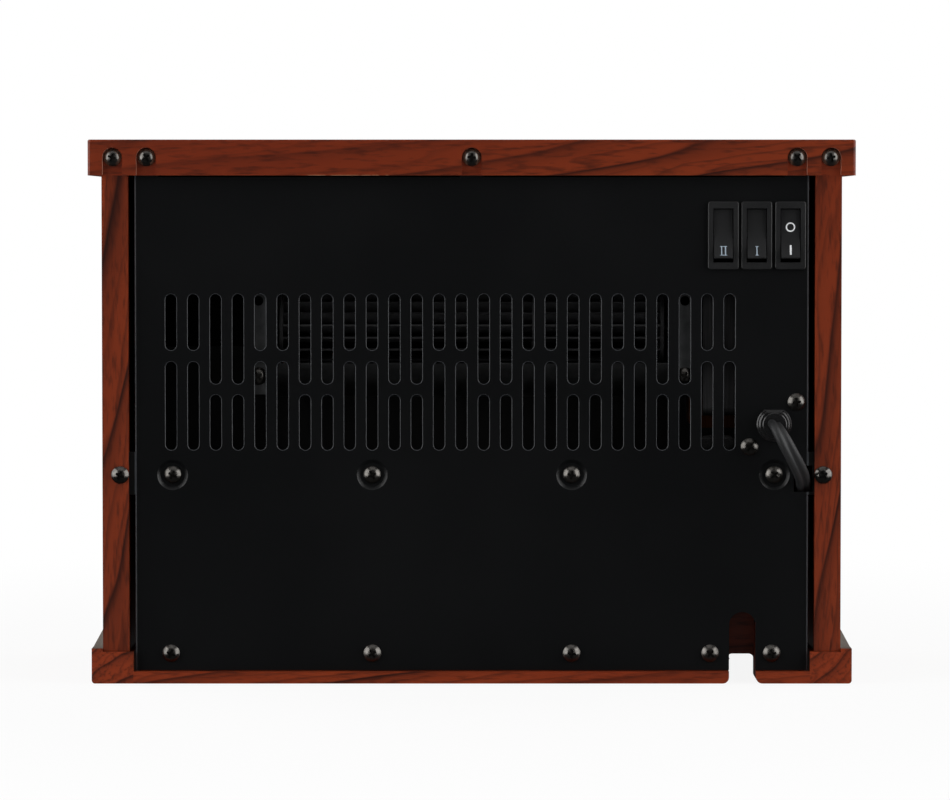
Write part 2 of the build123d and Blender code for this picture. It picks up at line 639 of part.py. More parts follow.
# Switches -------------------------------------------------------------------------------------
body_half_x, body_half_z = 5.8, 13.7
well_half_x, well_half_z = 4.6, 12.3
for name, x in switch_x.items():
    with BuildPart() as housing:
        with BuildSketch(facing_back(panel_face)):
            with Locations((x, switch_z)):
                RectangleRounded(bezel_width, bezel_height, 1.2)
        extrude(amount=-bezel_lip)
        fillet(housing.edges().group_by(Axis.Y)[-1], 0.5)
        block(x - body_half_x, x + body_half_x, 57, panel_face,
              switch_z - body_half_z, switch_z + body_half_z)
        block(x - well_half_x, x + well_half_x, 62, 80,
              switch_z - well_half_z, switch_z + well_half_z, mode=Mode.SUBTRACT)
        with BuildSketch(Plane.YZ.offset(x - 5.4)):
            with Locations((pivot_y, switch_z)):
                Circle(pivot_radius + screw_fit)
        extrude(amount=10.8, mode=Mode.SUBTRACT)
    save(housing, f"{name}_switch_housing")

    tilt = math.radians(rocker_tilt)

    def turned(along, out):
        """A point of the rocker's side view, turned about its pivot to the off position."""
        return (pivot_y + out * math.cos(tilt) - along * math.sin(tilt),
                switch_z + along * math.cos(tilt) + out * math.sin(tilt))

    with BuildPart() as rocker:
        with BuildSketch(Plane.YZ.offset(x - 4.25)):
            with BuildLine():
                Polyline(turned(rocker_reach, rocker_rim), turned(9.8, -2), turned(6, -6),
                         turned(-6, -6), turned(-9.8, -2), turned(-rocker_reach, rocker_rim))
                ThreePointArc(turned(-rocker_reach, rocker_rim), turned(0, rocker_dip),
                              turned(rocker_reach, rocker_rim))
            make_face()
        extrude(amount=8.5)
        fillet(rocker.edges().filter_by(Axis.X).group_by(Axis.Y)[-1], 0.5)
        with BuildSketch(Plane.YZ.offset(x - 5.2)):
            with Locations((pivot_y, switch_z)):
                Circle(pivot_radius)
        extrude(amount=10.4)
    save(rocker, f"{name}_rocker")

with BuildPart() as switch_terminals:
    for x in switch_x.values():
        for z in (switch_z - 9, switch_z, switch_z + 9):
            block(x - 2.4, x + 2.4, 48, 57, z - 0.4, z + 0.4)
save(switch_terminals, "switch_terminals")

# Lead -----------------------------------------------------------------------------------------
with BuildPart() as cord_clamp_plate:
    plate_mid = ((clamp_screws[0][0] + clamp_screws[1][0]) / 2,
                 (clamp_screws[0][1] + clamp_screws[1][1]) / 2)
    with BuildSketch(facing_back(panel_inner)):
        with Locations(plate_mid):
            RectangleRounded(27.4, 29, 3)
        with Locations((relief_x, relief_z)):
            Circle(relief_bore, mode=Mode.SUBTRACT)
        with Locations(*clamp_screws):
            Circle(shank_radius + screw_fit, mode=Mode.SUBTRACT)
    extrude(amount=1.5)
save(cord_clamp_plate, "cord_clamp_plate")

relief_nose, relief_flat, relief_flange, relief_collar = 82.0, 6.7, 1.8, 1.6
with BuildPart() as strain_relief:
    with BuildSketch(facing_back(panel_face)):
        with Locations((relief_x, relief_z)):
            Circle(8.0)
        with Locations((relief_x, relief_z + relief_flat + 2.5)):
            Rectangle(20, 5, mode=Mode.SUBTRACT)
    extrude(amount=-relief_flange)
    chamfer(strain_relief.edges().group_by(Axis.Y)[-1], 0.5)
    with BuildSketch(facing_back(panel_face + relief_flange)):
        with Locations((relief_x, relief_z)):
            Circle(7.1)
        with Locations((relief_x, relief_z + relief_flat + 2.0)):
            Rectangle(20, 5, mode=Mode.SUBTRACT)
    extrude(amount=-relief_collar)
    chamfer(strain_relief.edges().group_by(Axis.Y)[-1], 0.7)
    with BuildSketch(facing_back(relief_nose)):
        with Locations((relief_x, relief_z)):
            Circle(5.6)
    extrude(amount=relief_nose - 64)
    chamfer(strain_relief.edges().group_by(Axis.Y)[-1], 0.4)
    with BuildSketch(facing_back(73.9)):
        with Locations((relief_x, relief_z)):
            Circle(7.2)
    extrude(amount=4)
save(strain_relief, "strain_relief")

coil_x, coil_y, coil_low = -27.0, -142.0, 1.0
coil_inner, coil_outer, coil_high = 33.8, 50.2, 14.2
route = [
    (-138.1, 82.0, 118.5), (-138.1, 89.5, 118.5), (-141.4, 93.2, 112.2), (-145.2, 91.2, 105.2),
    (-148.6, 86.4, 99.2), (-150.8, 79.6, 94.4), (-151.2, 71.5, 89.2), (-150.8, 63.0, 81.5),
    (-150.8, 56.0, 70.0), (-150.9, 51.5, 56.0), (-149.9, 48.6, 44.5), (-146.2, 45.0, 36.2),
    (-138.4, 40.0, 31.6), (-127.6, 33.4, 30.4), (-114.4, 23.6, 31.0), (-102.8, 9.5, 28.6),
    (-93.6, -6.0, 21.4), (-86.0, -21.5, 12.2), (-80.6, -38.0, 5.4), (-77.6, -55.0, 3.2),
    (-75.2, -73.5, 3.1), (-75.4, -92.5, 3.2), (-73.6, -111.0, 3.3), (-74.0, -129.5, 3.3),
]


def corner_radii(points):
    """Each corner's arc: 0.45 of its shorter run over the tangent of half its turn."""
    vectors = [Vector(*point) for point in points]
    radii = []
    for before, here, after in zip(vectors, vectors[1:], vectors[2:]):
        turn = math.radians((here - before).get_angle(after - here))
        run = min((here - before).length, (after - here).length)
        radii.append(0.45 * run / math.tan(turn / 2))
    return radii


with BuildPart() as power_cord:
    with BuildLine() as cord_path:
        FilletPolyline(*route, radius=corner_radii(route))
    with BuildSketch(Plane(cord_path.line @ 0, z_dir=cord_path.line % 0)):
        Circle(tube_radius)
    sweep(path=cord_path.line)
save(power_cord, "power_cord")
print("cord radii", [round(radius, 1) for radius in corner_radii(route)])
cord_run = cord_path.wires()[0].length
print("cord length", round(cord_run, 1), "volume over section times length",
      round(power_cord.part.volume / (math.pi * tube_radius**2 * cord_run), 4))

plug_y = coil_y - 52.0
plug_nose = coil_x + 51.0
plug_x = plug_nose + 41.0
with BuildPart() as cord_coil:
    with BuildSketch(Plane.XZ.offset(-coil_y)):
        with Locations((coil_x + (coil_inner + coil_outer) / 2, (coil_low + coil_high) / 2)):
            RectangleRounded(coil_outer - coil_inner, coil_high - coil_low, 2)
    revolve(axis=Axis((coil_x, coil_y, 0), (0, 0, 1)))
    tail_start = Vector(coil_x, coil_y - 47, 9)
    tail = Vector(plug_nose, plug_y, 5.2) - tail_start
    with BuildSketch(Plane(tail_start, z_dir=tail)):
        Circle(tube_radius)
    extrude(amount=tail.length + 0.5)
save(cord_coil, "cord_coil")

tie_angle = 35.0
with BuildPart() as cord_tie:
    turn = math.radians(tie_angle)
    middle = (coil_inner + coil_outer) / 2
    tie_plane = Plane((coil_x + middle * math.cos(turn), coil_y + middle * math.sin(turn),
                       (coil_low + coil_high) / 2),
                      x_dir=(math.cos(turn), math.sin(turn), 0),
                      z_dir=(-math.sin(turn), math.cos(turn), 0))
    with BuildSketch(tie_plane):
        RectangleRounded(coil_outer - coil_inner + 2.6, coil_high - coil_low + 2.0, 2.4)
        RectangleRounded(coil_outer - coil_inner + 1.0, coil_high - coil_low + 0.4, 2.0,
                         mode=Mode.SUBTRACT)
    extrude(amount=3, both=True)
save(cord_tie, "cord_tie")

with BuildPart() as plug_body:
    with BuildSketch(Plane.YZ.offset(plug_nose)):
        with Locations((plug_y, 5.2)):
            RectangleRounded(9.6, 6.4, 2.6)
    with BuildSketch(Plane.YZ.offset(plug_x)):
        with Locations((plug_y, 9.5)):
            RectangleRounded(21, 17, 4)
    loft()
    with BuildSketch(Plane.YZ.offset(plug_x)):
        with Locations((plug_y, 9.5)):
            RectangleRounded(24, 19, 5)
    extrude(amount=22)
    fillet(plug_body.faces().sort_by(Axis.X)[-1].edges(), 1.2)
save(plug_body, "plug_body")

with BuildPart() as plug_blades:
    for y, height in ((plug_y - 6.35, 6.3), (plug_y + 6.35, 8.0)):
        block(plug_x + 22, plug_x + 39, y - 0.75, y + 0.75, 9.5 - height / 2, 9.5 + height / 2)
    chamfer(plug_blades.edges().group_by(Axis.X)[-1], 0.5)
save(plug_blades, "plug_blades")

clip_from, clip_to = Vector(*route[13]), Vector(*route[14])
with BuildPart() as cord_clip:
    along = (clip_to - clip_from).normalized()
    saddle = Plane((clip_from + clip_to) / 2, x_dir=along.cross(Vector(0, 0, 1)), z_dir=along)
    with BuildSketch(saddle):
        Circle(tube_radius + 1.6)
        with Locations((0, -3.4)):
            Rectangle(8.4, 3.3)
        Circle(tube_radius + 0.3, mode=Mode.SUBTRACT)
    extrude(amount=4, both=True)
save(cord_clip, "cord_clip")
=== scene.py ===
import json
import math
import random

import bmesh
import bpy
from mathutils import Matrix, Vector, noise


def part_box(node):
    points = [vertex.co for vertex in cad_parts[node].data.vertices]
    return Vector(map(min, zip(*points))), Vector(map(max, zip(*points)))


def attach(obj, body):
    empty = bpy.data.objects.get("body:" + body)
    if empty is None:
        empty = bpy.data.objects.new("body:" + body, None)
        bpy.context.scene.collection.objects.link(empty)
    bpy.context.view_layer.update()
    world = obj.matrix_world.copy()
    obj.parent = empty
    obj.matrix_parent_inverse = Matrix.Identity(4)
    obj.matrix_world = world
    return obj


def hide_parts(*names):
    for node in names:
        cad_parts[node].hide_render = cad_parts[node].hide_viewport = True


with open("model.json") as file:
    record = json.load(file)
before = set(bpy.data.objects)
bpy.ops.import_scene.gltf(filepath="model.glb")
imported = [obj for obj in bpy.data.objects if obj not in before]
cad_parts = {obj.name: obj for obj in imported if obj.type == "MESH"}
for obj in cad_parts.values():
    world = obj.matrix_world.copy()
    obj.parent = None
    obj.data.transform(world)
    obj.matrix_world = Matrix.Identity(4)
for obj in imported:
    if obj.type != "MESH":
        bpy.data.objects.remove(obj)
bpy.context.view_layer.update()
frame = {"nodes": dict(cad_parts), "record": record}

record = frame["record"]
mm = 0.001
cabinetBody = "cabinet"


# small helpers
def addNode(tree, kind, inputs=None, **settings):
    node = tree.nodes.new(kind)
    for key, value in settings.items():
        setattr(node, key, value)
    for key, value in (inputs or {}).items():
        if isinstance(value, bpy.types.NodeSocket):
            tree.links.new(value, node.inputs[key])
        else:
            node.inputs[key].default_value = value
    return node


def newMaterial(name, **sockets):
    material = bpy.data.materials.new(name)
    material.use_nodes = True
    shader = material.node_tree.nodes["Principled BSDF"]
    for key, value in sockets.items():
        shader.inputs[key.replace("_", " ")].default_value = value
    return material, material.node_tree, shader


def objectCoords(tree, scale=(1, 1, 1), shift=(0, 0, 0)):
    coords = addNode(tree, "ShaderNodeTexCoord")
    return addNode(tree, "ShaderNodeMapping", {"Vector": coords.outputs["Object"], "Scale": scale,
                                               "Location": shift}).outputs[0]


def split(tree, vector):
    # the three parts of a vector, as sockets
    return addNode(tree, "ShaderNodeSeparateXYZ", {0: vector}).outputs


def surfaceFacing(tree):
    return split(tree, addNode(tree, "ShaderNodeNewGeometry").outputs["True Normal"])


def noiseValue(tree, vector, scale, detail=4.0, roughness=0.55, distortion=0.0):
    return addNode(tree, "ShaderNodeTexNoise",
                   {"Vector": vector, "Scale": scale, "Detail": detail, "Roughness": roughness,
                    "Distortion": distortion}).outputs[0]


def mathNode(tree, operation, a, b=0.0, c=0.0):
    return addNode(tree, "ShaderNodeMath", {0: a, 1: b, 2: c}, operation=operation).outputs[0]


def mixColours(tree, factor, a, b):
    return addNode(tree, "ShaderNodeMix", {0: factor, 6: a, 7: b}, data_type="RGBA").outputs[2]


def mixVectors(tree, factor, a, b):
    return addNode(tree, "ShaderNodeMix", {0: factor, 4: a, 5: b}, data_type="VECTOR").outputs[1]


def allOf(tree, *masks):
    # 1 where every mask is 1
    result = masks[0]
    for mask in masks[1:]:
        result = mathNode(tree, "MULTIPLY", result, mask)
    return result


def brighter(colour, factor):
    return (*(part * factor for part in colour[:3]), 1)


def ramp(tree, factor, stops):
    node = addNode(tree, "ShaderNodeValToRGB", {"Fac": factor})
    elements = node.color_ramp.elements
    for index, (place, colour) in enumerate(stops):
        element = elements[index] if index < 2 else elements.new(place)
        element.position = place
        element.color = colour if isinstance(colour, tuple) else (colour, colour, colour, 1)
    return node.outputs[0]


def bumpFrom(tree, shader, height, strength, distance):
    bump = addNode(tree, "ShaderNodeBump", {"Height": height, "Strength": strength, "Distance": distance})
    tree.links.new(bump.outputs[0], shader.inputs["Normal"])


def between(tree, value, low, high):
    # 1 where low <= value <= high
    return mathNode(tree, "COMPARE", value, (low + high) / 2, (high - low) / 2)


def meshPiece(name, bm, material, body=cabinetBody, smooth=True):
    mesh = bpy.data.meshes.new(name)
    bmesh.ops.recalc_face_normals(bm, faces=bm.faces)
    bm.to_mesh(mesh)
    bm.free()
    piece = bpy.data.objects.new(name, mesh)
    bpy.context.scene.collection.objects.link(piece)
    for polygon in mesh.polygons:
        polygon.use_smooth = smooth
    mesh.materials.append(material)
    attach(piece, body)
    return piece


def dress(nodeName, material):
    # gives a CAD node its finish
    mesh = frame["nodes"][nodeName].data
    mesh.materials.clear()
    mesh.materials.append(material)


# the camera stands behind the heater, a little above its middle
cameraLook = {"behind": 1.9975, "height": 0.2146, "aimHeight": 0.1296, "aside": -0.0015,
              "lens": 165.9, "sensor": 36.0, "farClip": 50}

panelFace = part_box("back_panel")[1][1]
camera = bpy.data.objects.new("rearCamera", bpy.data.cameras.new("rearCamera"))
bpy.context.scene.collection.objects.link(camera)
bpy.context.scene.camera = camera
camera.data.lens = cameraLook["lens"]
camera.data.sensor_width = cameraLook["sensor"]
camera.data.clip_end = cameraLook["farClip"]
camera.location = (cameraLook["aside"], panelFace + cameraLook["behind"], cameraLook["height"])
tiltDown = math.atan((cameraLook["height"] - cameraLook["aimHeight"]) / cameraLook["behind"])
camera.rotation_euler = (math.pi / 2 - tiltDown, 0, math.pi)
print("camera set")


# the mains lead, from the back panel through the cabinet to its coil
leadLook = {
    "route": [  # metres; out of the strain relief, down through the slot, inside, and out to the coil
        (-0.1381, 0.0820, 0.1185), (-0.1381, 0.0895, 0.1185), (-0.1414, 0.0932, 0.1122),
        (-0.1452, 0.0912, 0.1052), (-0.1486, 0.0864, 0.0992), (-0.1511, 0.0798, 0.0942),
        (-0.1520, 0.0715, 0.0890), (-0.1512, 0.0630, 0.0815), (-0.1508, 0.0560, 0.0700),
        (-0.1509, 0.0515, 0.0560), (-0.1499, 0.0486, 0.0445), (-0.1462, 0.0450, 0.0362),
        (-0.1384, 0.0400, 0.0316), (-0.1276, 0.0334, 0.0304), (-0.1144, 0.0236, 0.0310),
        (-0.1028, 0.0095, 0.0286), (-0.0936, -0.0060, 0.0214), (-0.0860, -0.0215, 0.0122),
        (-0.0806, -0.0380, 0.0054), (-0.0776, -0.0550, 0.0032), (-0.0752, -0.0735, 0.0031),
        (-0.0754, -0.0925, 0.0032), (-0.0736, -0.1110, 0.0033), (-0.0740, -0.1295, 0.0033),
    ],
    "coilCentre": (-0.0270, -0.1420),
    "outer": 0.0461, "inner": 0.0379,      # radii of the two columns of turns
    "layers": (0.0032, 0.0076, 0.0120),
    "turns": (("outer", 0), ("inner", 0), ("inner", 1), ("outer", 1), ("inner", 2)),
    "pointsPerTurn": 16, "stepsOver": 0.8,  # the share of a turn after which it moves to the next one
    "coilReach": 0.02, "resolution": 10, "lobeSteps": 11,
    "tail": [(-0.0150, -0.1892, 0.0116), (-0.0040, -0.1915, 0.0096), (0.0070, -0.1934, 0.0068),
             (0.0165, -0.1940, 0.0054), (0.0245, -0.1940, 0.0052)],
    "width": 0.0070, "lobe": 0.00195,      # overall width, and the radius of each of its two lobes
    "roll": 24, "rollFades": (0.045, 0.075),  # degrees at the panel, and where along Y it goes
    "length": 1.76,
}


def leadPoints():
    points = list(leadLook["route"])
    centreX, centreY = leadLook["coilCentre"]
    count = leadLook["pointsPerTurn"]
    turns = [(leadLook[column], leadLook["layers"][layer]) for column, layer in leadLook["turns"]]
    turns.append((leadLook["outer"], leadLook["layers"][2]))
    stepsOver = leadLook["stepsOver"]
    for number, (radius, height) in enumerate(turns):
        last = number == len(turns) - 1
        nextRadius, nextHeight = turns[number if last else number + 1]
        for step in range(count // 4 + 1 if last else count):
            share = max(0.0, (step / count - stepsOver) / (1 - stepsOver))
            angle = math.pi + 2 * math.pi * step / count
            here = radius + (nextRadius - radius) * share
            up = height + (nextHeight - height) * share
            points.append((centreX + here * math.cos(angle), centreY + here * math.sin(angle), up))
    return points + leadLook["tail"]


def nurbsSamples(name, points):
    curve = bpy.data.curves.new(name, "CURVE")
    curve.dimensions = "3D"
    curve.resolution_u = leadLook["resolution"]
    spline = curve.splines.new("NURBS")
    spline.points.add(len(points) - 1)
    for point, place in zip(spline.points, points):
        point.co = (*place, 1)
    spline.order_u = 3
    spline.use_endpoint_u = True
    holder = bpy.data.objects.new(name, curve)
    mesh = bpy.data.meshes.new_from_object(holder)
    samples = [vertex.co.copy() for vertex in mesh.vertices]
    bpy.data.objects.remove(holder)
    return samples


def twinProfile():
    # two round lobes side by side with a valley between them: (across, through)
    lobe = leadLook["lobe"]
    centre = leadLook["width"] / 2 - lobe
    valley = math.pi - math.acos(centre / lobe)
    steps = leadLook["lobeSteps"]
    side = []
    for step in range(steps):
        angle = -valley + 2 * valley * step / (steps - 1)
        side.append((centre + lobe * math.cos(angle), lobe * math.sin(angle)))
    return side + [(-across, -through) for across, through in side[1:-1]]


def buildLead():
    # the flat section follows the line; on the coil it lies flat, at the panel it is a little rolled
    samples = nurbsSamples("leadLine", leadPoints())
    profile = twinProfile()
    coilFrom = leadLook["coilCentre"][1] + leadLook["coilReach"]
    rollEnd, rollStart = leadLook["rollFades"]
    bm = bmesh.new()
    rings = []
    run = 0.0
    flat = Vector((1, 0, 0))
    onCoil = False
    for index, place in enumerate(samples):
        ahead = samples[min(index + 1, len(samples) - 1)]
        behind = samples[max(index - 1, 0)]
        along = (ahead - behind).normalized()
        if index:
            run += (place - samples[index - 1]).length
        onCoil = onCoil or place.y < coilFrom
        guide = Vector((0, 0, 1)).cross(along) if onCoil else Vector((1, 0, 0))
        guide = (guide - along * guide.dot(along)).normalized()
        flat = guide if guide.dot(flat) >= 0 else -guide
        through = along.cross(flat)
        held = 0.0 if onCoil else min(1.0, max(0.0, (place.y - rollEnd) / (rollStart - rollEnd)))
        roll = math.radians(leadLook["roll"]) * held
        wide = flat * math.cos(roll) - through * math.sin(roll)
        thick = through * math.cos(roll) + flat * math.sin(roll)
        rings.append([bm.verts.new(place + wide * a + thick * b) for a, b in profile])
    for first, second in zip(rings, rings[1:]):
        for number in range(len(profile)):
            after = (number + 1) % len(profile)
            bm.faces.new((first[number], first[after], second[after], second[number]))
    bm.faces.new(rings[0])
    bm.faces.new(rings[-1][::-1])
    return bm, samples, run


# finishes
woodLook = {
    "base": (0.170, 0.0205, 0.0032, 1), "dark": (0.022, 0.0036, 0.0012, 1),
    "light": (0.235, 0.034, 0.0058, 1), "roughness": 0.42,
    "along": 0.15, "warpScale": 14.0, "warp": 0.022, "swirl": 8.5,    # how the figure is drawn out and bent
    "ringScale": 42.0, "lineScale": 120.0, "patchScale": 26.0, "fibreScale": 700.0, "pores": 0.55,
    "rawEnd": (0.13, 0.108, 0.092, 1), "rawEndPale": (0.24, 0.21, 0.185, 1), "speckleScale": 1400.0,
    "frontLength": -0.0690,                                # the moulding's front length lies before this
    # painted shade: the back of the lead's notch is darkened toward a near-black brown
    "recess": (0.0600, 0.0740), "recessShade": 0.45, "recessShadeColour": (0.010, 0.003, 0.0015, 1),
}

pocketLook = {                                             # measured from the cap's lower rear edge
    "depth": 0.0024, "skin": 0.00004, "rise": (0.0003, 0.0128), "reach": 0.1695,
    "raw": (0.52, 0.27, 0.19, 1),
    "chipAlong": (0.038, 0.075), "chipRise": (-0.0002, 0.0002), "chipScale": 260.0,
    "chipped": (0.42, 0.17, 0.09, 1),
}
squareOn, sideOn = 0.9, 0.5    # how much a surface faces the back to count as facing it, or as a side wall


def growthLines(tree, vector, scale, swirl):
    return addNode(tree, "ShaderNodeTexWave",
                   {"Vector": vector, "Scale": scale, "Distortion": swirl, "Detail": 2.0,
                    "Detail Scale": 0.55, "Detail Roughness": 0.45},
                   wave_type="BANDS", bands_direction="DIAGONAL", wave_profile="SAW").outputs[1]


def figurePlace(tree, grain, phase, turnsAtFront):
    # where on the print a point lies, drawn out along the grain
    shift = (phase, phase * 1.7, phase * 0.6)
    stretch = [1.0, 1.0, 1.0]
    stretch[grain] = woodLook["along"]
    place = objectCoords(tree, stretch, shift)
    if turnsAtFront:
        across = objectCoords(tree, (woodLook["along"], 1.0, 1.0), shift)
        depth = split(tree, objectCoords(tree))[1]
        place = mixVectors(tree, mathNode(tree, "LESS_THAN", depth, woodLook["frontLength"]), place, across)
    return place


def shadeRecess(tree, colour, place):
    # painted shade: the back of the lead's notch is darkened as if unlit
    deep = between(tree, place[1], *woodLook["recess"])
    shade = mathNode(tree, "MULTIPLY", deep, woodLook["recessShade"])
    return mixColours(tree, shade, colour, woodLook["recessShadeColour"])


def bareEnds(tree, colour, coords, facing):
    # the sawn ends show the bare board
    speckle = mixColours(tree, noiseValue(tree, coords, woodLook["speckleScale"], 3.0), woodLook["rawEnd"],
                         woodLook["rawEndPale"])
    return mixColours(tree, mathNode(tree, "GREATER_THAN", facing[1], squareOn), colour, speckle)


def milledPockets(tree, colour, coords, place, facing):
    # the milled walls of the screw pockets show pale board, and the lower edge is chipped in one place
    capLow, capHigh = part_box("cabinet_top")
    wall = mathNode(tree, "LESS_THAN", mathNode(tree, "ABSOLUTE", facing[1]), sideOn)
    deep = between(tree, place[1], capHigh[1] - pocketLook["depth"], capHigh[1] - pocketLook["skin"])
    high = between(tree, place[2], *(capLow[2] + rise for rise in pocketLook["rise"]))
    wide = between(tree, place[0], -pocketLook["reach"], pocketLook["reach"])
    colour = mixColours(tree, allOf(tree, wall, deep, high, wide), colour, pocketLook["raw"])
    chipAlong = between(tree, place[0], *pocketLook["chipAlong"])
    chipUp = between(tree, place[2], *(capLow[2] + rise for rise in pocketLook["chipRise"]))
    ragged = mathNode(tree, "GREATER_THAN", noiseValue(tree, coords, pocketLook["chipScale"], 3.0), 0.42)
    rear = mathNode(tree, "GREATER_THAN", facing[1], squareOn)
    return mixColours(tree, allOf(tree, chipAlong, chipUp, ragged, rear), colour, pocketLook["chipped"])


def woodFoil(name, grain, phase, rawEnds=False, pockets=False, recessShaded=False, bright=1.0):
    # printed cherry foil on board; grain is the axis that the figure runs along
    material, tree, shader = newMaterial(name, Roughness=woodLook["roughness"], IOR=1.36)
    figure = figurePlace(tree, grain, phase, rawEnds)
    warp = addNode(tree, "ShaderNodeTexNoise",
                   {"Vector": figure, "Scale": woodLook["warpScale"], "Detail": 1.5})
    bent = mixVectors(tree, woodLook["warp"], figure, warp.outputs[1])
    broad = ramp(tree, growthLines(tree, bent, woodLook["ringScale"], woodLook["swirl"]),
                 [(0.0, 0.0), (0.45, 0.08), (0.78, 0.42), (0.91, 1.0), (0.97, 0.10)])
    thin = ramp(tree, growthLines(tree, bent, woodLook["lineScale"], woodLook["swirl"] * 1.6),
                [(0.0, 0.0), (0.55, 0.05), (0.86, 0.50), (0.97, 0.05)])
    lines = mathNode(tree, "MAXIMUM", broad, thin)
    patches = noiseValue(tree, figure, woodLook["patchScale"], 2.0)
    fibres = noiseValue(tree, figure, woodLook["fibreScale"], 2.0)
    strength = mathNode(tree, "MULTIPLY", ramp(tree, patches, [(0.34, 0.45), (0.58, 1.0)]), lines)
    # painted light: for the base boards the foil colours are made brighter
    ground = mixColours(tree, ramp(tree, patches, [(0.3, 0.0), (0.75, 0.75)]),
                        brighter(woodLook["base"], bright), brighter(woodLook["light"], bright))
    colour = mixColours(tree, strength, ground, woodLook["dark"])
    pores = mathNode(tree, "MULTIPLY", ramp(tree, fibres, [(0.50, 0.0), (0.72, 1.0)]), woodLook["pores"])
    colour = mixColours(tree, pores, colour, woodLook["dark"])
    coords = addNode(tree, "ShaderNodeTexCoord").outputs["Object"]
    place = split(tree, coords)
    facing = surfaceFacing(tree)
    # painted shade in the lead's notch of the rear rail
    if recessShaded:
        colour = shadeRecess(tree, colour, place)
    if rawEnds:
        colour = bareEnds(tree, colour, coords, facing)
    if pockets:
        colour = milledPockets(tree, colour, coords, place, facing)
    tree.links.new(colour, shader.inputs["Base Color"])
    bumpFrom(tree, shader, fibres, 0.10, 0.0001)
    return material


paintLook = {
    # rim is the painted highlight colour of the slot rims and the fold
    "colour": (0.0030, 0.0034, 0.0040, 1), "shade": 0.75, "rim": (0.042, 0.045, 0.050, 1),
    "grooveShade": (0.0008, 0.0008, 0.0008, 1), "roughness": 0.36, "grooveRoughness": 0.95,
    "peelScale": 1700.0, "cloudScale": 9.0,
    "slant": (0.40, 0.93), "slotsAbove": 0.1055,       # painted highlight: the slots' slanted rims get the lighter rim colour
    "foldHighlight": (0.1531, 0.1540), "grooveFrom": 0.1541,    # painted highlight on the fold too; painted shade, near-black, in the gap beyond it
}


def blackPaint(name):
    # satin powder coat with a fine orange peel
    material, tree, shader = newMaterial(name, Metallic=0.0, IOR=1.40)
    coords = objectCoords(tree)
    facing = surfaceFacing(tree)
    place = split(tree, coords)
    # painted highlight: slanted slot rims and the folded edge take the lighter rim colour
    slanted = between(tree, mathNode(tree, "ABSOLUTE", facing[1]), *paintLook["slant"])
    slots = mathNode(tree, "GREATER_THAN", place[2], paintLook["slotsAbove"])
    across = mathNode(tree, "ABSOLUTE", place[0])
    foldHighlightMask = between(tree, across, *paintLook["foldHighlight"])
    rimHighlightMask = mathNode(tree, "MAXIMUM", allOf(tree, slanted, slots), foldHighlightMask)
    # painted shade: beyond the fold, the panel in the gap beside the side boards is coloured near-black
    grooveShadeMask = mathNode(tree, "GREATER_THAN", across, paintLook["grooveFrom"])
    peel = noiseValue(tree, coords, paintLook["peelScale"], 2.0)
    cloud = noiseValue(tree, coords, paintLook["cloudScale"], 3.0)
    coat = mixColours(tree, cloud, brighter(paintLook["colour"], paintLook["shade"]), paintLook["colour"])
    paint = mixColours(tree, rimHighlightMask, coat, paintLook["rim"])
    tree.links.new(mixColours(tree, grooveShadeMask, paint, paintLook["grooveShade"]), shader.inputs["Base Color"])
    sheen = ramp(tree, cloud, [(0.3, paintLook["roughness"] - 0.04), (0.7, paintLook["roughness"] + 0.05)])
    dull = mathNode(tree, "MULTIPLY", grooveShadeMask, paintLook["grooveRoughness"])
    tree.links.new(mathNode(tree, "MAXIMUM", sheen, dull), shader.inputs["Roughness"])
    bumpFrom(tree, shader, peel, 0.12, 0.00006)
    return material


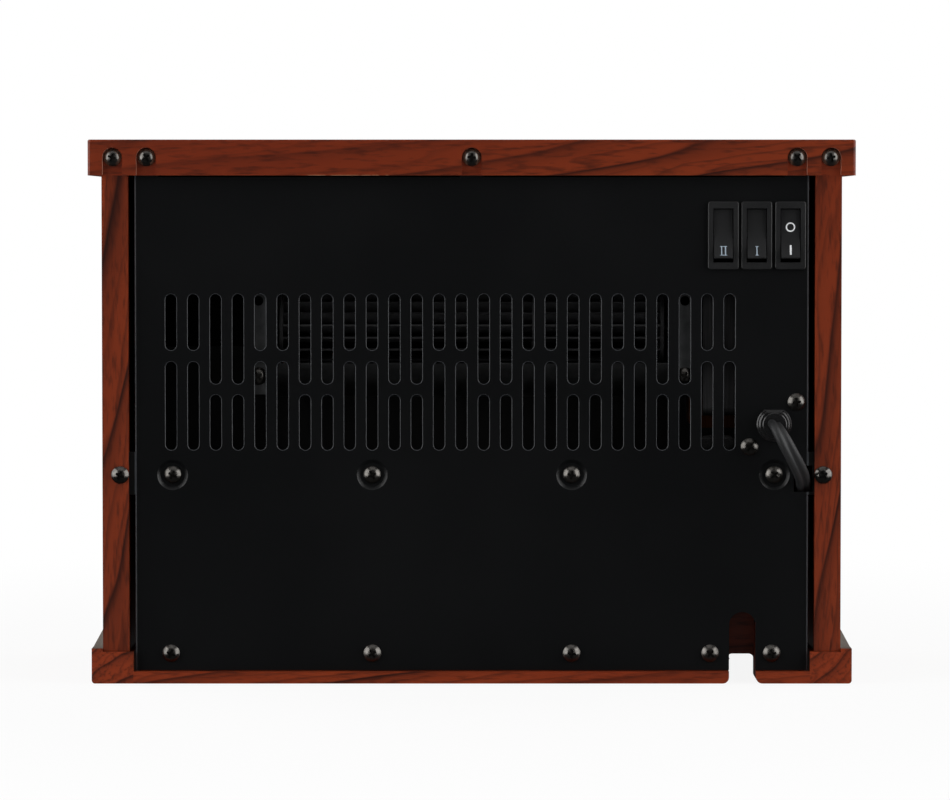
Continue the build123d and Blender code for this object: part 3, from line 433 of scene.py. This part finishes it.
# name: colour, darker colour, roughness, metallic, grain scale, stretch of the grain, bump
cloudScale = 40.0
plainFinishes = {
    "zinc_sheet_steel": ((0.26, 0.265, 0.27), (0.15, 0.155, 0.16), 0.46, 1.0, 240.0, (1, 1, 1), 0.05),
    "black_screw_steel": ((0.150, 0.142, 0.132), (0.060, 0.057, 0.053), 0.27, 1.0, 900.0, (1, 1, 1), 0.08),
    "ground_steel": ((0.16, 0.16, 0.165), (0.10, 0.10, 0.105), 0.38, 1.0, 900.0, (0.05, 1, 1), 0.04),
    # painted shade: black_wheel_metal and dark_sheet_steel colour the parts inside the cabinet near-black,
    # standing in for the shade seen through the slots
    "black_wheel_metal": ((0.030, 0.030, 0.032), (0.018, 0.018, 0.019), 0.38, 0.0, 500.0, (0.05, 1, 1), 0.05),
    "dark_sheet_steel": ((0.010, 0.010, 0.0108), (0.0065, 0.0065, 0.007), 0.50, 0.0, 240.0, (1, 1, 1), 0.05),
    "lamination_steel": ((0.14, 0.14, 0.145), (0.05, 0.05, 0.052), 0.50, 1.0, 2400.0, (1, 0.02, 0.02), 0.35),
    "copper_winding": ((0.20, 0.065, 0.025), (0.07, 0.022, 0.010), 0.38, 1.0, 2600.0, (1, 0.03, 0.03), 0.5),
    "black_rubber": ((0.018, 0.018, 0.018), (0.010, 0.010, 0.010), 0.62, 0.0, 900.0, (1, 1, 1), 0.15),
    "brown_ceramic": ((0.34, 0.27, 0.20), (0.22, 0.165, 0.115), 0.70, 0.0, 700.0, (1, 1, 1), 0.25),
    "fin_aluminium": ((0.66, 0.67, 0.68), (0.48, 0.49, 0.50), 0.30, 1.0, 700.0, (1, 1, 0.05), 0.08),
    "pale_heat_plastic": ((0.56, 0.51, 0.40), (0.47, 0.42, 0.32), 0.50, 0.0, 800.0, (1, 1, 1), 0.08),
    "cutout_metal": ((0.55, 0.55, 0.55), (0.38, 0.38, 0.38), 0.33, 1.0, 700.0, (1, 1, 1), 0.05),
    "bright_brass": ((0.70, 0.50, 0.20), (0.48, 0.32, 0.12), 0.24, 1.0, 800.0, (0.1, 1, 1), 0.05),
    "silver_foil": ((0.74, 0.74, 0.75), (0.52, 0.52, 0.54), 0.18, 1.0, 120.0, (1, 1, 1), 0.10),
    "lamp_board_green": ((0.03, 0.16, 0.07), (0.018, 0.10, 0.045), 0.32, 0.0, 500.0, (1, 1, 1), 0.05),
    "switch_plastic": ((0.0125, 0.0128, 0.0135), (0.0095, 0.0098, 0.0105), 0.40, 0.0, 1500.0, (1, 1, 1),
                       0.05),
    "black_nylon": ((0.0110, 0.0110, 0.0115), (0.0070, 0.0070, 0.0075), 0.26, 0.0, 1200.0, (1, 1, 1), 0.06),
    "cord_vinyl": ((0.0210, 0.0215, 0.0230), (0.0150, 0.0155, 0.0165), 0.58, 0.0, 1300.0, (1, 1, 1), 0.08),
}


def plainFinish(name):
    light, dark, roughness, metallic, scale, stretch, bump = plainFinishes[name]
    material, tree, shader = newMaterial(name, Metallic=metallic, IOR=1.48)
    coords = objectCoords(tree, stretch)
    grain = noiseValue(tree, coords, scale, 3.0)
    cloud = noiseValue(tree, objectCoords(tree), cloudScale, 3.0)
    blend = mathNode(tree, "MULTIPLY_ADD", grain, 0.6, mathNode(tree, "MULTIPLY", cloud, 0.4))
    tree.links.new(ramp(tree, blend, [(0.32, (*dark, 1)), (0.68, (*light, 1))]), shader.inputs["Base Color"])
    tree.links.new(ramp(tree, cloud, [(0.3, roughness - 0.05), (0.7, roughness + 0.07)]),
                   shader.inputs["Roughness"])
    bumpFrom(tree, shader, grain, bump, 0.00012)
    return material


windowLook = {"tint": (0.86, 0.89, 0.88, 1), "deepTint": (0.82, 0.86, 0.85, 1), "smearScale": 30.0,
              "smearRoughness": 0.06}


def clearWindow():
    material, tree, shader = newMaterial("window_glass", IOR=1.50, Transmission_Weight=1.0)
    smear = noiseValue(tree, objectCoords(tree, (1, 1, 0.3)), windowLook["smearScale"], 3.0)
    tree.links.new(ramp(tree, smear, [(0.4, 0.0), (0.8, windowLook["smearRoughness"])]),
                   shader.inputs["Roughness"])
    tint = ramp(tree, smear, [(0.2, windowLook["deepTint"]), (0.8, windowLook["tint"])])
    tree.links.new(tint, shader.inputs["Base Color"])
    return material


screenLook = {"dark": (0.30, 0.29, 0.27, 1), "pale": (0.40, 0.385, 0.36, 1), "hazeScale": 300.0,
              "through": 0.55}


def frostedScreen():
    material, tree, shader = newMaterial("frosted_acrylic", IOR=1.47,
                                         Transmission_Weight=screenLook["through"])
    haze = noiseValue(tree, objectCoords(tree), screenLook["hazeScale"], 3.0)
    tree.links.new(ramp(tree, haze, [(0.3, screenLook["dark"]), (0.7, screenLook["pale"])]),
                   shader.inputs["Base Color"])
    tree.links.new(ramp(tree, haze, [(0.3, 0.42), (0.7, 0.58)]), shader.inputs["Roughness"])
    return material


barkLook = {"ridgeScale": 190.0, "charScale": 28.0, "char": (0.012, 0.010, 0.009, 1), "relief": 0.0012}


def barkResin():
    material, tree, shader = newMaterial("log_resin", IOR=1.45)
    coords = objectCoords(tree, (0.22, 1, 1))
    ridges = noiseValue(tree, coords, barkLook["ridgeScale"], 6.0, 0.62, 0.6)
    char = noiseValue(tree, objectCoords(tree), barkLook["charScale"], 4.0)
    bark = ramp(tree, ridges, [(0.30, (0.010, 0.007, 0.005, 1)), (0.48, (0.075, 0.038, 0.018, 1)),
                               (0.62, (0.19, 0.115, 0.065, 1)), (0.80, (0.33, 0.25, 0.18, 1))])
    burnt = ramp(tree, char, [(0.42, 0.0), (0.60, 0.85)])
    tree.links.new(mixColours(tree, burnt, bark, barkLook["char"]), shader.inputs["Base Color"])
    tree.links.new(ramp(tree, ridges, [(0.3, 0.85), (0.8, 0.62)]), shader.inputs["Roughness"])
    bumpFrom(tree, shader, ridges, 0.8, barkLook["relief"])
    return material


emberLook = {"lumpScale": 150.0, "relief": 0.002}


def emberResin():
    material, tree, shader = newMaterial("ember_resin", IOR=1.45)
    lumps = noiseValue(tree, objectCoords(tree), emberLook["lumpScale"], 6.0, 0.6, 0.4)
    colour = ramp(tree, lumps, [(0.30, (0.010, 0.007, 0.006, 1)), (0.47, (0.16, 0.025, 0.006, 1)),
                                (0.56, (0.52, 0.13, 0.02, 1)), (0.66, (0.20, 0.15, 0.12, 1)),
                                (0.80, (0.42, 0.38, 0.34, 1))])
    tree.links.new(colour, shader.inputs["Base Color"])
    tree.links.new(ramp(tree, lumps, [(0.3, 0.5), (0.8, 0.9)]), shader.inputs["Roughness"])
    bumpFrom(tree, shader, lumps, 0.7, emberLook["relief"])
    return material


def markPaint(name, worn, fresh):
    material, tree, shader = newMaterial(name, IOR=1.45)
    wear = noiseValue(tree, objectCoords(tree), 2600.0, 3.0)
    tree.links.new(ramp(tree, wear, [(0.25, worn), (0.6, fresh)]), shader.inputs["Base Color"])
    tree.links.new(ramp(tree, wear, [(0.3, 0.4), (0.7, 0.55)]), shader.inputs["Roughness"])
    return material


finishes = {name: plainFinish(name) for name in plainFinishes}
finishes["black_sheet_steel"] = blackPaint("black_sheet_steel")
finishes["window_glass"] = clearWindow()
finishes["frosted_acrylic"] = frostedScreen()
finishes["log_resin"] = barkResin()
finishes["ember_resin"] = emberResin()

# boards that run across, and boards that stand up, with their own part of the print
boardsAcross = {"cabinet_top": 0.31, "base_front_rail": 1.13, "base_rear_rail": 2.41,
                "front_top_rail": 3.37, "front_bottom_rail": 4.19}
boardsUp = {"left_side_board": 5.53, "right_side_board": 6.71, "front_stiles": 7.83}
boardsDeep = {"base_side_rails": 8.11, "base_moulding": 9.27}
# painted light: the base boards get a brighter copy of the cherry foil
baseLitBrightness = 1.3
for boards, grain in ((boardsAcross, 0), (boardsUp, 2), (boardsDeep, 1)):
    for nodeName, phase in boards.items():
        dress(nodeName, woodFoil("cherry_" + nodeName, grain, phase, rawEnds=nodeName == "base_moulding",
                                 pockets=nodeName == "cabinet_top",
                                 recessShaded=nodeName == "base_rear_rail",
                                 bright=baseLitBrightness if nodeName.startswith("base") else 1.0))
for subpart in record["subparts"]:
    if subpart["material_slot"] in finishes:
        dress(subpart["node"], finishes[subpart["material_slot"]])
print("finishes given to", len(record["subparts"]), "nodes")

leadMesh, leadLine, leadRun = buildLead()
lead = meshPiece("mainsLead", leadMesh, finishes["cord_vinyl"])
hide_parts("power_cord", "cord_coil")
print("mains lead", round(leadRun, 3), "m")


# printed marks on the rockers
markLook = {
    "reach": 11.4, "rim": 3.5, "dip": 2.3, "lean": 10.0,   # the rocker's face, in millimetres and degrees
    "lift": 0.03, "thick": 0.05, "height": 4.4, "stroke": 0.50, "serif": 1.5, "apart": 0.88,
    "low": -7.6, "ringAt": 3.4, "ringRadius": 1.86, "ringStroke": 0.60,
    "barAt": -7.2, "barHeight": 4.6, "barWidth": 0.84,
}


def rockerFace(pivot, along, across, lift):
    # a point on the hollow face of a rocker that is at rest
    sag = markLook["rim"] - markLook["dip"]
    radius = (markLook["reach"] ** 2 + sag ** 2) / (2 * sag)
    out = markLook["dip"] + radius - math.sqrt(radius ** 2 - along ** 2) + lift
    lean = math.radians(markLook["lean"])
    return Vector((pivot[0] + across * mm,
                   pivot[1] + (out * math.cos(lean) - along * math.sin(lean)) * mm,
                   pivot[2] + (along * math.cos(lean) + out * math.sin(lean)) * mm))


def addBar(bm, pivot, low, high, left, right):
    steps = 5
    rows = []
    for step in range(steps + 1):
        along = low + (high - low) * step / steps
        rows.append([bm.verts.new(rockerFace(pivot, along, across, lift)) for across, lift in
                     ((left, 0.0), (right, 0.0), (right, markLook["lift"] + markLook["thick"]),
                      (left, markLook["lift"] + markLook["thick"]))])
    for first, second in zip(rows, rows[1:]):
        for corner in range(4):
            after = (corner + 1) % 4
            bm.faces.new((first[corner], first[after], second[after], second[corner]))
    bm.faces.new(rows[0])
    bm.faces.new(rows[-1][::-1])


def addNumeral(bm, pivot, offsets):
    low = markLook["low"] - markLook["height"] / 2
    high = markLook["low"] + markLook["height"] / 2
    half, serif = markLook["stroke"] / 2, markLook["serif"] / 2
    for offset in offsets:
        addBar(bm, pivot, low, high, offset - half, offset + half)
    for end in (low, high - 0.3):
        addBar(bm, pivot, end, end + 0.3, min(offsets) - serif, max(offsets) + serif)


def addRing(bm, pivot):
    steps = 40
    inner = markLook["ringRadius"] - markLook["ringStroke"] / 2
    outer = markLook["ringRadius"] + markLook["ringStroke"] / 2
    rows = []
    for step in range(steps):
        angle = 2 * math.pi * step / steps
        rows.append([bm.verts.new(rockerFace(pivot, markLook["ringAt"] + radius * math.sin(angle),
                                             radius * math.cos(angle), lift)) for radius, lift in
                     ((inner, 0.0), (outer, 0.0), (outer, markLook["lift"] + markLook["thick"]),
                      (inner, markLook["lift"] + markLook["thick"]))])
    for step in range(steps):
        first, second = rows[step], rows[(step + 1) % steps]
        for corner in range(4):
            after = (corner + 1) % 4
            bm.faces.new((first[corner], first[after], second[after], second[corner]))


whiteMark = markPaint("whiteMark", (0.60, 0.63, 0.66, 1), (0.86, 0.87, 0.88, 1))
paleMark = markPaint("paleMark", (0.24, 0.31, 0.38, 1), (0.42, 0.50, 0.58, 1))
pivots = {joint["child"]: joint["pos_m"] for joint in record["behaviour"]["joints"]}
for body, offsets in (("high_heat_rocker_body", (-markLook["apart"], markLook["apart"])),
                      ("low_heat_rocker_body", (0.0,))):
    marks = bmesh.new()
    addNumeral(marks, pivots[body], offsets)
    meshPiece(body.replace("_rocker_body", "_mark"), marks, paleMark, body, smooth=False)
marks = bmesh.new()
powerPivot = pivots["power_rocker_body"]
addRing(marks, powerPivot)
halfBar, halfStroke = markLook["barHeight"] / 2, markLook["barWidth"] / 2
addBar(marks, powerPivot, markLook["barAt"] - halfBar, markLook["barAt"] + halfBar, -halfStroke, halfStroke)
meshPiece("power_mark", marks, whiteMark, "power_rocker_body", smooth=False)
print("rocker marks made")


# logs and embers behind the window
logLook = {
    "logs": (  # middle, length, radius, yaw and roll in degrees
        ((0.000, -0.018, 0.0600), 0.186, 0.0098, 4, 0), ((-0.038, -0.033, 0.0600), 0.100, 0.0080, -17, 4),
        ((0.044, -0.033, 0.0600), 0.092, 0.0075, 19, -4), ((0.006, -0.027, 0.0750), 0.114, 0.0064, -9, 9)),
    "rings": 70, "sides": 40, "bark": 0.0011, "knots": 0.0016, "taper": 0.14,
    "coals": 230, "coalSize": (0.0026, 0.0062), "bedHeight": 0.0400,
}


def buildLogs():
    bm = bmesh.new()
    for number, (middle, length, radius, yaw, roll) in enumerate(logLook["logs"]):
        turn = Matrix.Rotation(math.radians(yaw), 3, "Z") @ Matrix.Rotation(math.radians(roll), 3, "Y")
        rings = []
        for step in range(logLook["rings"] + 1):
            share = step / logLook["rings"]
            along = (share - 0.5) * length
            endRound = min(1.0, 0.90 + 4.0 * min(share, 1 - share))
            girth = radius * (1 - logLook["taper"] * share) * endRound
            ring = []
            for side in range(logLook["sides"]):
                angle = 2 * math.pi * side / logLook["sides"]
                out = Vector((0, math.cos(angle), math.sin(angle)))
                spot = Vector((along * 90, out.y * 2.6 + number * 7, out.z * 2.6))
                bark = noise.fractal(Vector((spot.x * 0.35, spot.y * 2.2, spot.z * 2.2)), 0.9, 2.1, 4)
                knot = noise.noise(spot * 0.45)
                reach = girth + logLook["bark"] * bark * 0.8 + logLook["knots"] * knot * 0.6
                ring.append(bm.verts.new(Vector(middle) + turn @ (Vector((along, 0, 0)) + out * reach)))
            rings.append(ring)
        for first, second in zip(rings, rings[1:]):
            for side in range(logLook["sides"]):
                after = (side + 1) % logLook["sides"]
                bm.faces.new((first[side], first[after], second[after], second[side]))
        for ring, sign in ((rings[0], -1), (rings[-1], 1)):
            heart = sum((vertex.co for vertex in ring), Vector()) / len(ring)
            inner = [bm.verts.new(heart + (vertex.co - heart) * 0.72 + turn @ Vector((sign * 0.0006, 0, 0)))
                     for vertex in ring]
            centre = bm.verts.new(heart + turn @ Vector((sign * 0.0002, 0, 0)))
            for side in range(logLook["sides"]):
                after = (side + 1) % logLook["sides"]
                bm.faces.new((ring[side], ring[after], inner[after], inner[side]))
                bm.faces.new((inner[side], inner[after], centre))
    return bm


def buildEmbers():
    # a lumpy bed with loose coals set into it
    low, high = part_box("ember_bed")
    bm = bmesh.new()
    columns, rows = 150, 40
    grid = []
    for row in range(rows + 1):
        y = low[1] + (high[1] - low[1]) * row / rows
        line = []
        for column in range(columns + 1):
            x = low[0] + (high[0] - low[0]) * column / columns
            crown = 0.5 + 0.5 * math.sin(math.pi * min(1.0, 0.25 + 0.75 * row / rows))
            lump = noise.fractal(Vector((x * 130, y * 130, 3.7)), 0.8, 2.0, 4)
            z = logLook["bedHeight"] + 0.0042 * crown + 0.0016 * lump
            line.append(bm.verts.new((x, y, min(z, high[2]))))
        grid.append(line)
    for first, second in zip(grid, grid[1:]):
        for column in range(columns):
            bm.faces.new((first[column], first[column + 1], second[column + 1], second[column]))
    rim = [edge for edge in bm.edges if edge.is_boundary]
    skirt = bmesh.ops.extrude_edge_only(bm, edges=rim)["geom"]
    for vertex in (item for item in skirt if isinstance(item, bmesh.types.BMVert)):
        vertex.co.z = low[2]
    bmesh.ops.holes_fill(bm, edges=[edge for edge in bm.edges if edge.is_boundary], sides=0)
    draw = random.Random(11)
    for number in range(logLook["coals"]):
        size = draw.uniform(*logLook["coalSize"])
        x = draw.uniform(low[0] + size, high[0] - size)
        y = draw.uniform(low[1] + size, high[1] - size)
        z = min(logLook["bedHeight"] + 0.0035, high[2] - size * 0.62)
        place = Matrix.Translation((x, y, z)) @ Matrix.Rotation(draw.uniform(0, 6.28), 4, "Z")
        coal = bmesh.ops.create_icosphere(bm, subdivisions=2, radius=size, matrix=place)["verts"]
        for vertex in coal:
            offset = vertex.co - Vector((x, y, z))
            rough = noise.noise(vertex.co * 420 + Vector((number, 0, 0)))
            vertex.co = Vector((x, y, z)) + Vector((offset.x, offset.y, offset.z * 0.6)) * (1 + 0.28 * rough)
    return bm


logs = meshPiece("logSet", buildLogs(), finishes["log_resin"])
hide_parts("log_set")
embers = meshPiece("emberBed", buildEmbers(), finishes["ember_resin"])
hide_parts("ember_bed")
print("logs and embers made")


# studio
studioLook = {
    "floorRadius": 6.0, "fadeFrom": 0.28, "fadeTo": 0.75, "paper": (0.86, 0.86, 0.86, 1),
    "surround": 0.05, "glow": 0.90,
    "sideBoxes": 1.3, "sideAhead": 0.50, "sideUp": 0.50, "sideSize": (1.3, 1.5), "sidePower": 20.0,
    "topUp": 1.6, "topAhead": 0.50, "topSize": (1.6, 1.2), "topPower": 3.5,
    "frontAhead": -0.95, "frontUp": 0.9, "frontPower": 12.0,
}


def paperFloor():
    # a pale paper floor that runs out to white
    bm = bmesh.new()
    bmesh.ops.create_circle(bm, cap_ends=True, cap_tris=True, segments=96, radius=studioLook["floorRadius"])
    mesh = bpy.data.meshes.new("paperFloor")
    bm.to_mesh(mesh)
    bm.free()
    floor = bpy.data.objects.new("paperFloor", mesh)
    bpy.context.scene.collection.objects.link(floor)
    floor.location.z = -0.0002
    floor.visible_glossy = False
    material = bpy.data.materials.new("paperFloor")
    material.use_nodes = True
    tree = material.node_tree
    tree.nodes.clear()
    coords = objectCoords(tree)
    away = addNode(tree, "ShaderNodeVectorMath", {0: coords}, operation="LENGTH").outputs["Value"]
    fade = addNode(tree, "ShaderNodeMapRange",
                   {"Value": away, "From Min": studioLook["fadeFrom"], "From Max": studioLook["fadeTo"],
                    "To Min": studioLook["glow"]},
                   interpolation_type="SMOOTHSTEP").outputs[0]
    toEye = addNode(tree, "ShaderNodeLightPath").outputs["Is Camera Ray"]
    paper = addNode(tree, "ShaderNodeBsdfDiffuse", {"Color": studioLook["paper"]})
    white = addNode(tree, "ShaderNodeEmission", {"Color": (1, 1, 1, 1), "Strength": 1.0})
    both = addNode(tree, "ShaderNodeMixShader", {0: mathNode(tree, "MULTIPLY", fade, toEye)})
    tree.links.new(paper.outputs[0], both.inputs[1])
    tree.links.new(white.outputs[0], both.inputs[2])
    out = addNode(tree, "ShaderNodeOutputMaterial")
    tree.links.new(both.outputs[0], out.inputs["Surface"])
    mesh.materials.append(material)


def softBox(name, place, target, size, power):
    light = bpy.data.lights.new(name, "AREA")
    light.shape = "RECTANGLE"
    light.size, light.size_y = size
    light.energy = power
    holder = bpy.data.objects.new(name, light)
    bpy.context.scene.collection.objects.link(holder)
    holder.location = place
    holder.rotation_euler = (Vector(target) - Vector(place)).to_track_quat("-Z", "Y").to_euler()


def studioWorld():
    world = bpy.data.worlds.new("studio")
    bpy.context.scene.world = world
    world.use_nodes = True
    tree = world.node_tree
    tree.nodes.clear()
    toEye = addNode(tree, "ShaderNodeLightPath").outputs["Is Camera Ray"]
    strength = mathNode(tree, "MULTIPLY_ADD", toEye, 1.0 - studioLook["surround"], studioLook["surround"])
    background = addNode(tree, "ShaderNodeBackground", {"Color": (1, 1, 1, 1), "Strength": strength})
    out = addNode(tree, "ShaderNodeOutputWorld")
    tree.links.new(background.outputs[0], out.inputs["Surface"])


paperFloor()
studioWorld()
middle = (0, 0, 0.12)
for side in (-1, 1):
    across = side * studioLook["sideBoxes"]
    softBox(f"sideBox{side}", (across, studioLook["sideAhead"], studioLook["sideUp"]), middle,
            studioLook["sideSize"], studioLook["sidePower"])
    softBox(f"frontBox{side}", (across, studioLook["frontAhead"], studioLook["frontUp"]), middle,
            studioLook["sideSize"], studioLook["frontPower"])
softBox("topBox", (0, studioLook["topAhead"], studioLook["topUp"]), middle, studioLook["topSize"],
        studioLook["topPower"])
bpy.context.scene.view_settings.view_transform = "Standard"
print("studio lit")
